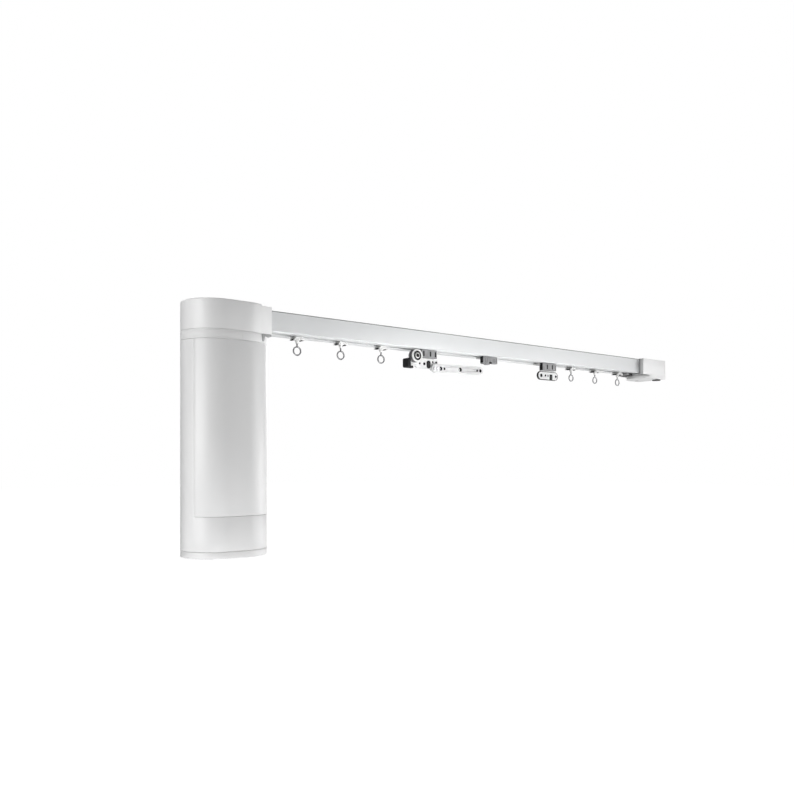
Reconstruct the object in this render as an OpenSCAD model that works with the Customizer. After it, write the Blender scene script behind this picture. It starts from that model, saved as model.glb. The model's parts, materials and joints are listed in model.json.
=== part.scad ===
// Electric curtain track: extruded rail, drive head with hanging motor, end box with idler,
// toothed belt, two carriages that part from the middle, gliders with swivel eyes.
// Millimetres. Origin at the middle of the rail's top face, +X from motor to end box,
// -Y towards the room, +Z up.

/* [Rail] */
// Width of the rail
rail_w = 26; // [24:0.5:34]
// Height of the rail
rail_h = 16.5; // [15.5:0.5:22]
// Length of the rail between the drive head and the end box
rail_len = 488; // [470:1:1200]
// Thickness of the rail's top and sides
rail_wall = 1.2; // [0.8:0.1:1.6]
// Thickness of the two running lips
lip_t = 1.4; // [1:0.1:2]
// Width of the slot in the underside
slot_w = 6; // [5.4:0.1:7]
// Height of the belt shelf above the running lip
shelf_rise = 2.5; // [2:0.1:3]
// Thickness of the belt shelf
shelf_t = 0.8; // [0.6:0.1:1.2]
// Radius of the screw holes in the rail's top
screw_hole_r = 2.25; // [1.5:0.05:3]
// Distance between the two screw holes
screw_spacing = 300; // [100:10:420]
// Flat broken off the rail's outer edges
rail_edge = 0.5; // [0.2:0.1:0.8]

/* [Belt and pulleys] */
// Thickness of the belt's band
belt_t = 1.4; // [1:0.1:1.6]
// Width of the belt
belt_w = 6; // [4:0.5:7]
// Depth of the belt's teeth
tooth_h = 0.8; // [0.4:0.1:1]
// Pitch of the belt's teeth
tooth_pitch = 8; // [5:0.5:12]
// Radius at which the belt's middle runs
belt_r = 8.2; // [8.1:0.1:9]
// Teeth on each pulley
pulley_teeth = 14; // [10:1:20]
// Thickness of a pulley flange
flange_t = 0.8; // [0.6:0.1:1.2]
// How far a pulley flange stands past the belt
flange_lip = 0.7; // [0.4:0.1:1.5]
// Radius of the drive pulley's trunnions
trunnion_r = 3; // [2.8:0.1:3.5]
// Width of a pulley bearing
bearing_w = 3; // [2:0.1:3.2]
// Wall of a pulley bearing
bearing_wall = 2.5; // [1.5:0.1:3]
// Radius of the idler's fixed axle
idler_axle_r = 2; // [1.5:0.1:2.5]

/* [Motor] */
// Radius of the motor housing's round ends
motor_r = 26; // [25:0.5:32]
// Length of the motor housing's flat middle
motor_flat = 16; // [14:1:30]
// Distance from the rail's end to the motor's axis
motor_gap = 33.8; // [32.6:0.1:40]
// Height of the drive head above the rail's top
head_rise = 2; // [1.6:0.1:5]
// Depth of the drive head below the rail's top
head_drop = 21; // [20.5:0.1:26]
// Wall of the drive head
head_wall = 2; // [1.2:0.1:2.4]
// Rounding of the drive head's top edge
head_round = 1.2; // [0.4:0.1:1.5]
// Thickness of the drive head's base plate
head_base_t = 2.5; // [2:0.1:3]
// Height of the collar under the drive head
collar_h = 7.3; // [6.5:0.1:14]
// Thickness of the collar's top plate
collar_top = 2.8; // [2:0.1:3]
// Length of the motor shell
shell_h = 160.8; // [158:0.5:240]
// Wall of the motor shell
shell_wall = 2.2; // [1.8:0.1:3]
// Length of the front panel
panel_h = 134.5; // [80:0.5:150]
// Thickness of the front panel
panel_t = 1.2; // [0.8:0.1:1.3]
// Distance from the motor's axis to the front panel's seam
panel_y = 13; // [6:0.5:18]
// Height of the bottom cap
cap_h = 5.5; // [5:0.1:15]
// Depth of the plugs that join collar, shell and cap
plug_h = 4.8; // [3:0.1:8]
// Radius of the motor and gearbox cans
can_r = 17.5; // [12:0.5:18]
// Length of the motor can
motor_can_h = 62; // [40:1:66]
// Length of the gearbox can
gearbox_h = 44; // [30:1:48]
// Radius of the output shaft
shaft_r = 2; // [1.5:0.1:2.2]
// Width of the bare label strip
label_w = 5; // [3:0.1:5.5]
// Distance from the motor's axis to the label strip's end
label_end = 3; // [0:0.5:8]
// Radius of the cable gland's bore
gland_r = 2.6; // [1.5:0.1:3]
// Radius of the setting button
button_r = 3; // [2:0.1:3.5]
// Travel of the setting button
button_travel = 1.2; // [0.5:0.1:1.5]

/* [Nose and end box] */
// Width of the drive head's nose
nose_w = 45.2; // [44:0.2:46]
// Length of the drive head's nose
nose_len = 8.6; // [7:0.1:9]
// Step from the drive head's top down to the nose
nose_step = 1.4; // [0.8:0.1:1.6]
// Length of the throat between the nose and the rail
throat_len = 3.8; // [2:0.1:5]
// How far the throat stands proud of the rail all round
throat_lip = 1; // [0.4:0.1:1.4]
// Length of the end box
box_len = 47.5; // [46:0.5:70]
// Width of the end box
box_w = 38; // [34:0.5:42]
// Height of the end box above the rail's top
box_rise = 0.3; // [0.2:0.1:2]
// Depth of the end box below the rail's top
box_drop = 18.2; // [17.2:0.1:23]
// Wall of the end box
box_wall = 1.6; // [1.2:0.1:2]
// Thickness of the end box's base
base_t = 3.8; // [3:0.1:6]
// Radius of the end box's far corners
box_corner = 5.5; // [4:0.1:7]
// Distance from the end box's face to the tip of its base's round end
base_back = 5.4; // [2:0.1:7]
// Radius of the tensioner's knob under the end box
knob_r = 4.8; // [3.5:0.1:5.5]
// Height of the tensioner's knob
knob_h = 1.1; // [0.8:0.1:3]
// Distance from the rail's end to the idler's axis
idler_gap = 27.5; // [26:0.5:28]
// Length of the tongues that hold the rail's ends
tongue_len = 15; // [8:0.5:17]
// Length of the end stop in the slot
stop_len = 11; // [6:0.5:12]
// Gap from the end stop to the rail's end
stop_back = 4; // [3:0.5:6]

/* [Carriages] */
// Place of the left carriage along the rail
left_x = -76.5; // [-78:0.5:-74]
// Place of the right carriage along the rail
right_x = 89.5; // [86:0.5:92]
// Place of the arm slider along the rail
slider_x = 3.7; // [2:0.1:6]
// Length of the left carriage's block
left_block_len = 18; // [17:0.5:19]
// Length of the right carriage's block
right_block_len = 21; // [20:0.5:24]
// Length of the arm slider's block
slider_block_len = 16.6; // [14:0.1:18]
// Depth of the carriage blocks below the rail
block_drop = 7.7; // [6:0.1:8.5]
// Thickness of the carriage blocks
block_t = 4; // [3.5:0.1:5]
// Distance from the rail's middle to the blocks' front
block_front = 10.5; // [10:0.1:12]
// Width of the carriages' necks in the slot
neck_w = 4.6; // [4:0.1:4.8]
// Thickness of the foot under the rail
foot_t = 1.5; // [1:0.1:2]
// Width of the grooves in the blocks
groove_w = 1.3; // [0.6:0.1:2]
// Depth of the grooves in the blocks
groove_d = 1.6; // [0.6:0.1:2.2]
// Distance between the grooves
groove_gap = 8; // [6:0.1:9]
// Radius of the running wheels
wheel_r = 3.2; // [2.6:0.1:3.6]
// Thickness of the running wheels
wheel_t = 3; // [2:0.1:3]
// Radius of the wheel axles
axle_r = 1; // [0.8:0.05:1.2]
// Distance between the axles of a carriage
wheel_base = 21; // [18:0.5:24]
// Length of the belt clamps
clamp_len = 8; // [6:0.5:9]

/* [Hanger plates] */
// Thickness of the hanger plates
plate_t = 2.2; // [1.2:0.1:2.6]
// Length of the left hanger plate
left_plate_len = 29; // [28:0.5:31]
// Length of the right hanger plate
right_plate_len = 30.8; // [30:0.1:33]
// Height of the hanger plates below the blocks
plate_h = 8.8; // [8:0.1:12]
// Radius of the hook holes
hook_r = 1.2; // [0.8:0.05:1.4]
// Distance between the right plate's hook holes
right_hook_gap = 23.2; // [21:0.1:24]
// Length of the overlap arm
arm_len = 66; // [60:0.5:70]
// Height of the overlap arm
arm_h = 8.4; // [8:0.1:10]
// Thickness of the overlap arm
arm_t = 2.6; // [1.5:0.1:2.8]
// Step from the plate's top down to the arm's top
arm_step = 3.8; // [3:0.1:5]
// Angle at which the overlap arm rises from its rivets
arm_rise = 1.6; // [0:0.1:2]
// Gap between the paired holes in the overlap arm
arm_pair = 4.4; // [4:0.1:5]
// Radius of the guide roller
roller_r = 6; // [5:0.1:6.2]
// Thickness of the guide roller
roller_t = 5.7; // [3:0.1:6]
// Radius of the guide roller's pin
roller_pin_r = 1.2; // [1:0.1:1.5]
// Length of the rubber buffer
buffer_len = 3.2; // [3.2:0.1:6]
// Length of the rubber buffer's foot under the roller
buffer_foot = 6; // [3:0.5:8]
// Height of the rubber buffer
buffer_h = 8.6; // [7:0.1:10]

/* [Gliders] */
// Distance from the rail's motor end to the first glider
glider_left_gap = 31.8; // [28:0.2:36]
// Distance from the left carriage's middle to the glider nearest to it
glider_left_stay = 48.5; // [46:0.5:52]
// Distance from the right carriage's middle to the glider nearest to it
glider_right_stay = 47.5; // [44:0.5:52]
// Distance from the rail's far end to the last glider
glider_right_gap = 24.2; // [22:0.2:30]
// Width of a glider's flared feet
glider_w = 10; // [8:0.1:10.4]
// Depth of a glider's flared feet
glider_d = 9; // [6:0.1:12]
// Height of a glider's skirt below the rail
glider_h = 2.9; // [2:0.1:4]
// Height of the funnel that holds the eye
funnel_h = 4; // [2.5:0.1:6]
// Outer radius of the eye
eye_r = 4.1; // [3:0.1:4.6]
// Radius of the eye's wire
wire_r = 0.65; // [0.4:0.05:0.8]
// Length of the eye's bare stem
eye_stem = 2.1; // [1:0.1:5]

/* [Fits] */
// Seam between housing pieces
seam = 0.2; // [0.1:0.05:0.3]
// Radial clearance of a shaft in its bore
shaft_fit = 0.05; // [0.02:0.01:0.1]
// Clearance between pieces that slide past each other
slide_gap = 0.3; // [0.2:0.05:0.4]
// Clearance under wheels, glider heads and belt
run_gap = 0.2; // [0.1:0.05:0.3]

/* [Hidden] */
$fn = 64;

// Rail levels
rail_end = rail_len / 2;
cave_y = rail_w / 2 - rail_wall;
lip_top = -rail_h + lip_t;
shelf_top = lip_top + shelf_rise;
shelf_in = belt_r - belt_t / 2 - 0.3;

// Belt and pulleys
belt_z0 = shelf_top + run_gap;
belt_z1 = belt_z0 + belt_w;
belt_in = belt_r - belt_t / 2;
belt_out = belt_r + belt_t / 2;
tooth_w = tooth_pitch * 0.45;
toothed = rail_len - 2 * tongue_len;
tooth_n = floor(toothed / tooth_pitch);
tip_r = belt_in - run_gap;
flange_r = belt_out + flange_lip;
bearing_r = trunnion_r + bearing_wall;
pulley_z0 = belt_z0 - run_gap - flange_t;
pulley_z1 = belt_z1 + run_gap + flange_t;
motor_x = -rail_end - motor_gap;
idler_x = rail_end + idler_gap;

// Motor levels
collar_z1 = -head_drop - seam;
collar_z0 = collar_z1 - collar_h + seam;
shell_z1 = collar_z0 - seam;
shell_z0 = collar_z0 - shell_h;
panel_z0 = collar_z0 - panel_h;
cap_z1 = shell_z0 - seam;
cap_z0 = cap_z1 - cap_h + seam;
inner_r = motor_r - shell_wall;
plug_r = inner_r - seam;
plug_in = plug_r - shell_wall;
head_base_z = -head_drop + head_base_t;
low_bearing_z = head_base_z + seam;
top_bearing_z = -seam - bearing_w;
boss_wall = 1.6;
gearbox_z1 = collar_z1 - collar_top - plug_h - 12.6;
gearbox_z0 = gearbox_z1 - gearbox_h;
motor_can_z0 = gearbox_z0 - motor_can_h;
nozzle_r = shaft_r + 3.8;
damper_h = 6;
board_t = 1.6;
board_x = motor_x - can_r - 5.5;
board_lap = 2;
board_h = motor_can_z0 + board_lap - cap_z1;
board_w = 26;
gland_x = motor_x - 14;
gland_wall = 1.3;
gland_flange = 1.5;
button_x = motor_x + 14;
lens_x = motor_x + 21;
lens_r = 1.5;
label_t = 0.3;
catch_turn = 35;
catch_top_w = 4;
catch_low_w = 1.6;
catch_wing = 1.6;
catch_z1 = collar_z1 - 0.5;
catch_z0 = collar_z0 + 1.6;
catch_out = 0.8;
catch_in = sqrt(pow(plug_in, 2) - pow(catch_top_w / 2 + catch_wing, 2)) - slide_gap;
catch_travel = 1.2;

// Nose, end box and tongues
throat_x1 = -rail_end - seam / 2;
nose_x1 = throat_x1 - throat_len;
nose_x0 = nose_x1 - nose_len;
nose_z1 = head_rise - nose_step;
box_x0 = rail_end + seam / 2;
box_x1 = box_x0 + box_len;
base_z0 = -box_drop - base_t;
base_round_x = box_x0 + base_back + box_w / 2;
base_foot_r = base_t - 0.6;
window_y = belt_out + 0.5;
window_z0 = shelf_top - 1.4;
window_z1 = -rail_wall - 1.2;
tongue_y0 = belt_out + 0.5;
tongue_y1 = cave_y - seam;
tongue_z0 = shelf_top + seam;
tongue_z1 = -rail_wall - seam;
screw_r = 1.2;
screw_head_r = 2.2;
screw_head_h = 1.4;
screw_len = 9;
box_boss_r = 3.6;
box_screw_x = box_x1 - box_corner - 9;
box_screw_y = box_w / 2 - box_wall - 3.4;
knob_x = box_x1 - base_foot_r - knob_r;
knob_y = -box_w / 4;

// Carriage levels
under_z = -rail_h - slide_gap;
block_z0 = under_z - block_drop;
block_y0 = -block_front;
block_y1 = -block_front + block_t;
wheel_z = lip_top + run_gap + wheel_r;
wheel_y0 = neck_w / 2 + 1.1;
truck_z0 = lip_top + run_gap;
truck_z1 = belt_z1 + 0.4;
clamp_z1 = truck_z1 + 2.6;
clamp_wall = 1.2;
plate_y0 = block_y1;
plate_y1 = block_y1 + plate_t;
plate_z1 = block_z0 - 0.8;
plate_z0 = plate_z1 - plate_h;
tab_h = 5;
left_plate_x1 = left_x + left_block_len / 2 + 4.6;
left_plate_x0 = left_plate_x1 - left_plate_len;
left_rivet_x = [left_x - 3.1, left_x + 4.5];
right_plate_x0 = right_x - right_block_len / 2 - 2.5;
right_plate_x1 = right_plate_x0 + right_plate_len;
roller_x = left_x - left_block_len / 2 - roller_r - 0.9;
roller_z = under_z - 0.7 - roller_r;
roller_y1 = plate_y0 - slide_gap;
roller_y0 = roller_y1 - roller_t;
seal_in = 3.5;
seal_out = 4.8;
seal_d = 0.8;
rim_t = 1.2;
tyre_t = 0.8;
lug_r = 4.4;
pin_head_r = 1.7;
pin_head_h = 0.6;
buffer_x1 = roller_x - roller_r - slide_gap;
buffer_x0 = buffer_x1 - buffer_len;
buffer_z1 = plate_z1 - 0.6;
buffer_y0 = block_y0;
buffer_y1 = plate_y1 + 1.9;
buffer_round = 1.5;
arm_y1 = plate_y0;
arm_y0 = arm_y1 - arm_t;
arm_z1 = plate_z1 - arm_step;
arm_z = arm_z1 - arm_h / 2;
arm_x0 = left_plate_x1 - 9;
arm_x1 = arm_x0 + arm_len;
arm_holes = [
    left_plate_x1 + 1.6,
    left_plate_x1 + 1.6 + arm_pair,
    (arm_x0 + arm_x1) / 2 + 2.2,
    arm_x1 - 4 - arm_pair,
    arm_x1 - 4
];
arm_hole_share = [1.45, 0.85, 1.55, 0.8, 1.2];
right_hole_share = [1.3, 1];
peep_r = hook_r * 2 / 3;
rivet_r = 1.1;
rivet_head_r = 1.7;
rivet_head_h = 0.6;
arm_rivets = [arm_x0 + 2.6, arm_x0 + 6.4];
arm_pivot = (arm_rivets[0] + arm_rivets[1]) / 2;
clip_w = 4.4;
clip_h = 7.4;
clip_proud = 0.4;
left_clip_x = left_plate_x1 - 11.5;
right_clip_x = right_x + 6.9;
right_clip_w = 3.8;
right_clip_h = 6.2;
right_hole_x = (right_plate_x0 + right_plate_x1) / 2 + 0.9;

// Glider levels
glider_z1 = under_z;
glider_z0 = glider_z1 - glider_h;
funnel_z1 = glider_z1 - glider_h / 2;
funnel_z0 = funnel_z1 - funnel_h;
funnel_r = 2.4;
funnel_tip = wire_r + 0.5;
eye_head_r = 1.7;
eye_head_h = 1;
eye_seat_z = under_z - 0.8;
eye_z = funnel_z0 - eye_stem - eye_r;
glider_left_ends = [-rail_end + glider_left_gap, left_x - glider_left_stay];
glider_right_ends = [right_x + glider_right_stay, rail_end - glider_right_gap];
glider_x = [
    glider_left_ends[0], (glider_left_ends[0] + glider_left_ends[1]) / 2, glider_left_ends[1],
    glider_right_ends[0], (glider_right_ends[0] + glider_right_ends[1]) / 2, glider_right_ends[1]
];

// Shapes shared by several pieces

module stadium(r, flat) {
    translate([-flat / 2, 0]) circle(r);
    translate([flat / 2, 0]) circle(r);
    square([flat, 2 * r], center = true);
}

module along_x(x0, x1) {
    translate([x0, 0, 0]) rotate([90, 0, 90]) linear_extrude(x1 - x0) children();
}

module along_y(y0, y1) {
    translate([0, y1, 0]) rotate([90, 0, 0]) linear_extrude(y1 - y0) children();
}

module along_z(z0, z1) {
    translate([0, 0, z0]) linear_extrude(z1 - z0) children();
}

module box(x0, x1, y0, y1, z0, z1) {
    translate([x0, y0, z0]) cube([x1 - x0, y1 - y0, z1 - z0]);
}

module rod_y(x, z, r, y0, y1) {
    translate([x, y0, z]) rotate([-90, 0, 0]) cylinder(h = y1 - y0, r = r);
}

module rod_z(x, y, r, z0, z1) {
    translate([x, y, z0]) cylinder(h = z1 - z0, r = r);
}

module both_sides() {
    children();
    mirror([0, 1, 0]) children();
}

module motor_block(r, z0, z1) {
    translate([motor_x, 0, 0]) along_z(z0, z1) stadium(r, motor_flat);
}

module motor_ring(r1, r0, z0, z1) {
    translate([motor_x, 0, 0]) along_z(z0, z1) difference() {
        stadium(r1, motor_flat);
        stadium(r0, motor_flat);
    }
}

// Half outline of a block with its top edge rounded
module rounded_half(r, h, f) {
    square([r - f, h]);
    square([r, h - f]);
    translate([r - f, h - f]) circle(f);
}

module rounded_pill(r, flat, h, f) {
    for (side = [0, 1])
        mirror([side, 0, 0]) translate([flat / 2, 0, 0])
            rotate([0, 0, -90]) rotate_extrude(angle = 180) rounded_half(r, h, f);
    for (side = [0, 1])
        mirror([0, side, 0]) along_x(-flat / 2, flat / 2) rounded_half(r, h, f);
}

// Rail and end pieces

module rail_outline() {
    half = rail_w / 2;
    polygon([
        [-half + rail_edge, 0], [half - rail_edge, 0], [half, -rail_edge],
        [half, -rail_h + rail_edge], [half - rail_edge, -rail_h],
        [-half + rail_edge, -rail_h], [-half, -rail_h + rail_edge], [-half, -rail_edge]
    ]);
}

// Hollow of the rail between two levels, out to a half width
module rail_hollow(half, z0, z1) {
    translate([-half, z0]) square([2 * half, z1 - z0]);
}

module rail_section() {
    difference() {
        rail_outline();
        rail_hollow(cave_y, shelf_top, -rail_wall);
        rail_hollow(shelf_in, shelf_top - shelf_t - 0.1, shelf_top + 0.1);
        rail_hollow(cave_y, lip_top, shelf_top - shelf_t);
        rail_hollow(slot_w / 2, -rail_h - 1, lip_top + 0.1);
    }
}

module rail() {
    color("gainsboro") difference() {
        along_x(-rail_end, rail_end) rail_section();
        for (side = [-1, 1])
            rod_z(side * screw_spacing / 2, 0, screw_hole_r, -rail_wall - 1, 1);
    }
}

// Two tongues that plug into a rail end, from x0 to x1
module tongues(x0, x1) {
    both_sides() box(x0, x1, tongue_y0, tongue_y1, tongue_z0, tongue_z1);
}

module head_outline(inset) {
    intersection() {
        translate([motor_x, 0]) stadium(motor_r - inset, motor_flat);
        translate([nose_x0 - inset - 200, -100]) square([200, 200]);
    }
    translate([motor_x, -nose_w / 2 + inset])
        square([nose_x1 - inset - motor_x, nose_w - 2 * inset]);
}

module drive_head() {
    color("white") {
        difference() {
            union() {
                intersection() {
                    translate([motor_x, 0, -head_drop])
                        rounded_pill(motor_r, motor_flat, head_rise + head_drop, head_round);
                    box(nose_x0 - 200, nose_x0, -100, 100, -head_drop - 1, head_rise + 1);
                }
                box(motor_x, nose_x1, -nose_w / 2, nose_w / 2, -head_drop, nose_z1);
                box(nose_x1 - head_wall / 2, throat_x1, -rail_w / 2 - throat_lip, rail_w / 2 + throat_lip,
                    -rail_h - throat_lip, throat_lip / 2);
            }
            along_z(-head_drop - 1, 0) head_outline(head_wall);
            box(nose_x1 - head_wall - 1, throat_x1 + 1, -window_y, window_y, window_z0, window_z1);
        }
        difference() {
            rod_z(motor_x, 0, bearing_r + boss_wall, top_bearing_z, head_rise / 2);
            rod_z(motor_x, 0, bearing_r + shaft_fit, top_bearing_z - 1, 0);
        }
        tongues(throat_x1 - throat_len / 2, -rail_end + tongue_len);
    }
}

module drive_head_base() {
    color("whitesmoke") difference() {
        union() {
            along_z(-head_drop, head_base_z) head_outline(head_wall + seam / 2);
            rod_z(motor_x, 0, bearing_r + boss_wall, -head_drop, low_bearing_z + bearing_w);
        }
        rod_z(motor_x, 0, bearing_r + shaft_fit, low_bearing_z - seam, low_bearing_z + bearing_w + 1);
        rod_z(motor_x, 0, trunnion_r + 1, -head_drop - 1, head_base_z + 1);
    }
}

module box_outline(inset) {
    difference() {
        translate([box_x0 + inset, -box_w / 2 + inset]) square([box_len - 2 * inset, box_w - 2 * inset]);
        for (side = [0, 1])
            mirror([0, side]) translate([box_x1 - box_corner, box_w / 2 - box_corner]) difference() {
                square(box_corner + 1);
                circle(box_corner - inset);
            }
    }
}

module box_screw_places() {
    for (side = [-1, 1]) translate([box_screw_x, side * box_screw_y, 0]) children();
}

module end_box() {
    top = box_rise - box_wall;
    color("white") difference() {
        union() {
            difference() {
                along_z(-box_drop, box_rise) box_outline(0);
                along_z(-box_drop - 1, top) box_outline(box_wall);
                box(box_x0 - 1, box_x0 + box_wall + 1, -window_y, window_y, window_z0, window_z1);
            }
            intersection() {
                box_screw_places() rod_z(0, 0, box_boss_r, -box_drop, box_rise - box_wall / 2);
                along_z(-box_drop, box_rise) box_outline(box_wall / 2);
            }
            rod_z(idler_x, 0, idler_axle_r + boss_wall, pulley_z1 + slide_gap, box_rise - box_wall / 2);
            tongues(rail_end - tongue_len, box_x0 + box_wall / 2);
        }
        box_screw_places() rod_z(0, 0, screw_r + shaft_fit, -box_drop - 1, -box_drop + screw_len);
        rod_z(idler_x, 0, idler_axle_r + shaft_fit, -box_drop, top);
    }
}

module end_box_base() {
    color("white") difference() {
        union() {
            intersection() {
                along_z(base_z0, -box_drop) {
                    intersection() {
                        box_outline(0);
                        translate([base_round_x, -box_w]) square([box_len, 2 * box_w]);
                    }
                    translate([base_round_x, 0]) circle(box_w / 2);
                }
                along_y(-box_w, box_w)
                    plate_lobe(box_x0 - box_w, box_x1, base_z0, -box_drop, base_foot_r, base_foot_r);
            }
            rod_z(idler_x, 0, idler_axle_r + boss_wall, -box_drop - 1, pulley_z0 - slide_gap);
        }
        rod_z(idler_x, 0, idler_axle_r + shaft_fit, base_z0 + 1, 0);
        box_screw_places() {
            rod_z(0, 0, screw_r + 0.2, base_z0 - 1, -box_drop + 1);
            rod_z(0, 0, screw_head_r + 0.2, base_z0 - 1, base_z0 + screw_head_h);
        }
        rod_z(knob_x, knob_y, screw_r + 0.2, base_z0 - 1, -box_drop + 1);
    }
}

module housing_screws() {
    color("dimgray") {
        box_screw_places() {
            rod_z(0, 0, screw_head_r, base_z0 + 0.1, base_z0 + screw_head_h);
            rod_z(0, 0, screw_r, base_z0 + screw_head_h - 0.2, -box_drop + screw_len - 0.5);
        }
        rod_z(knob_x, knob_y, knob_r, base_z0 - knob_h, base_z0 - seam / 2);
        rod_z(knob_x, knob_y, screw_r, base_z0 - 1, -box_drop - seam);
    }
}

module end_stop() {
    x1 = rail_end - stop_back;
    x0 = x1 - stop_len;
    color("gray") {
        box(x0, x1, -5.6, 5.6, lip_top + run_gap / 2, lip_top + 1.8);
        box(x0 + 1, x1 - 1, -neck_w / 2, neck_w / 2, -rail_h - 1, lip_top + 1);
        box(x0, x1, -6.5, 6.5, -rail_h - 2.4, -rail_h - run_gap / 2);
    }
}

// Belt drive

module tooth_rack() {
    for (i = [0:tooth_n - 1])
        translate([(i - tooth_n / 2 + 0.5) * tooth_pitch - tooth_w / 2, belt_in - tooth_h])
            square([tooth_w, tooth_h + belt_t / 2]);
}

module drive_belt() {
    mid = (motor_x + idler_x) / 2;
    span = idler_x - motor_x;
    color("dimgray") along_z(belt_z0, belt_z1) {
        translate([mid, 0]) difference() {
            stadium(belt_out, span);
            stadium(belt_in, span);
        }
        tooth_rack();
        mirror([0, 1]) tooth_rack();
    }
}

module toothed_wheel(x) {
    root = tip_r - tooth_h;
    gap_r = PI * tip_r / pulley_teeth / 2;
    difference() {
        rod_z(x, 0, tip_r, pulley_z0 + flange_t / 2, pulley_z1 - flange_t / 2);
        for (i = [0:pulley_teeth - 1])
            translate([x, 0, 0]) rotate([0, 0, i * 360 / pulley_teeth])
                rod_z(root + gap_r, 0, gap_r, pulley_z0 - 1, pulley_z1 + 1);
    }
    rod_z(x, 0, flange_r, pulley_z0, pulley_z0 + flange_t);
    rod_z(x, 0, flange_r, pulley_z1 - flange_t, pulley_z1);
}

module pulley_bearings() {
    color("silver") for (z = [low_bearing_z, top_bearing_z])
        difference() {
            rod_z(motor_x, 0, bearing_r, z, z + bearing_w);
            rod_z(motor_x, 0, trunnion_r, z - 1, z + bearing_w + 1);
        }
}

module drive_pulley() {
    color("lightgray") difference() {
        union() {
            toothed_wheel(motor_x);
            rod_z(motor_x, 0, trunnion_r - shaft_fit, low_bearing_z, top_bearing_z + bearing_w - seam);
        }
        rod_z(motor_x, 0, shaft_r, low_bearing_z - 1, pulley_z1);
    }
}

module output_shaft() {
    color("silver") rod_z(motor_x, 0, shaft_r - shaft_fit, gearbox_z1 - 8, pulley_z1 - seam);
}

module idler_pulley() {
    color("lightgray") difference() {
        toothed_wheel(idler_x);
        rod_z(idler_x, 0, idler_axle_r + shaft_fit, pulley_z0 - 1, pulley_z1 + 1);
    }
}

module idler_axle() {
    color("silver") rod_z(idler_x, 0, idler_axle_r, base_z0 + 1, box_rise - box_wall - 0.1);
}

// Motor

module label_area(z0, z1) {
    box(motor_x - 100, motor_x + label_end, -100, 0, z0, z1);
}

module label_strip() {
    mid = (collar_z0 + collar_z1) / 2;
    color("snow") intersection() {
        motor_ring(motor_r, motor_r - label_t, collar_z0, collar_z1);
        label_area(mid - label_w / 2, mid + label_w / 2);
    }
}

// Frame on the collar's round end, with X pointing out through the catch
module catch_frame() {
    translate([motor_x + motor_flat / 2, 0, 0]) rotate([0, 0, catch_turn - 90]) children();
}

// Wedge that narrows downwards, from radius x0 to x1
module catch_wedge(grow, x0, x1) {
    a = catch_top_w / 2 + grow;
    b = catch_low_w / 2 + grow;
    translate([x0, 0, 0]) rotate([90, 0, 90]) linear_extrude(x1 - x0)
        polygon([[-a, catch_z1 + grow], [a, catch_z1 + grow], [b, catch_z0 - grow], [-b, catch_z0 - grow]]);
}

module motor_collar() {
    mid = (collar_z0 + collar_z1) / 2;
    color("white") difference() {
        union() {
            motor_block(motor_r, collar_z0, collar_z1);
            motor_block(plug_r, collar_z0 - plug_h, collar_z0 + 1);
        }
        motor_block(plug_in, collar_z0 - plug_h - 1, collar_z1 - collar_top);
        rod_z(motor_x, 0, nozzle_r + seam, collar_z0, collar_z1 + 1);
        intersection() {
            motor_ring(motor_r + 1, motor_r - label_t - 0.02, collar_z0, collar_z1);
            label_area(mid - label_w / 2 - 0.05, mid + label_w / 2 + 0.05);
        }
        catch_frame() catch_wedge(slide_gap, catch_in - 1 - catch_travel - slide_gap, motor_r + 5);
    }
}

module release_catch() {
    wing_z1 = collar_z1 - collar_top - slide_gap;
    wing = catch_top_w / 2 + catch_wing;
    color("dimgray") catch_frame() {
        catch_wedge(0, catch_in - 1, motor_r + catch_out);
        box(catch_in - 1.6, catch_in, -wing, wing, catch_z0, wing_z1);
    }
}

module panel_area(depth, z0) {
    box(motor_x - 100, motor_x + 100, -100, -depth, z0, shell_z1);
}

module motor_shell() {
    color("white") difference() {
        motor_ring(motor_r, inner_r, shell_z0, shell_z1);
        intersection() {
            motor_ring(motor_r + 1, motor_r - panel_t - 0.1, panel_z0, shell_z1 + 1);
            box(motor_x - 100, motor_x + 100, -100, -panel_y, panel_z0, shell_z1 + 1);
        }
    }
}

module front_panel() {
    color("ghostwhite") intersection() {
        motor_ring(motor_r, motor_r - panel_t, panel_z0 + seam, shell_z1);
        panel_area(panel_y + seam, panel_z0 + seam);
    }
}

module bottom_cap() {
    color("white") difference() {
        union() {
            motor_block(motor_r, cap_z0, cap_z1);
            motor_ring(plug_r, plug_in, cap_z1 - 1, cap_z1 + plug_h);
        }
        rod_z(gland_x, 0, gland_r + gland_wall + shaft_fit, cap_z0 - 1, cap_z1 + 1);
        rod_z(button_x, 0, button_r + shaft_fit, cap_z0 - 1, cap_z1 + 1);
        rod_z(lens_x, 0, lens_r + shaft_fit, cap_z0 - 1, cap_z1 + 1);
    }
}

module motor_can() {
    color("darkgray") {
        rod_z(motor_x, 0, can_r, motor_can_z0, gearbox_z0);
        rod_z(motor_x, 0, can_r / 3, motor_can_z0 - 3, motor_can_z0 + 1);
    }
}

module gearbox_can() {
    color("silver") difference() {
        union() {
            rod_z(motor_x, 0, can_r, gearbox_z0, gearbox_z1);
            rod_z(motor_x, 0, nozzle_r, gearbox_z1 - 1, collar_z1 - 1);
        }
        rod_z(motor_x, 0, shaft_r, gearbox_z1 - 8.2, collar_z1);
    }
}

module motor_dampers() {
    color("black") for (z = [gearbox_z1 - 10 - damper_h, motor_can_z0 + 15])
        difference() {
            motor_block(plug_r, z, z + damper_h);
            rod_z(motor_x, 0, can_r + shaft_fit, z - 1, z + damper_h + 1);
        }
}

module circuit_board() {
    color("darkgreen")
        box(board_x - board_t, board_x, -board_w / 2, board_w / 2, cap_z1 + 0.1, cap_z1 + board_h);
}

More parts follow.
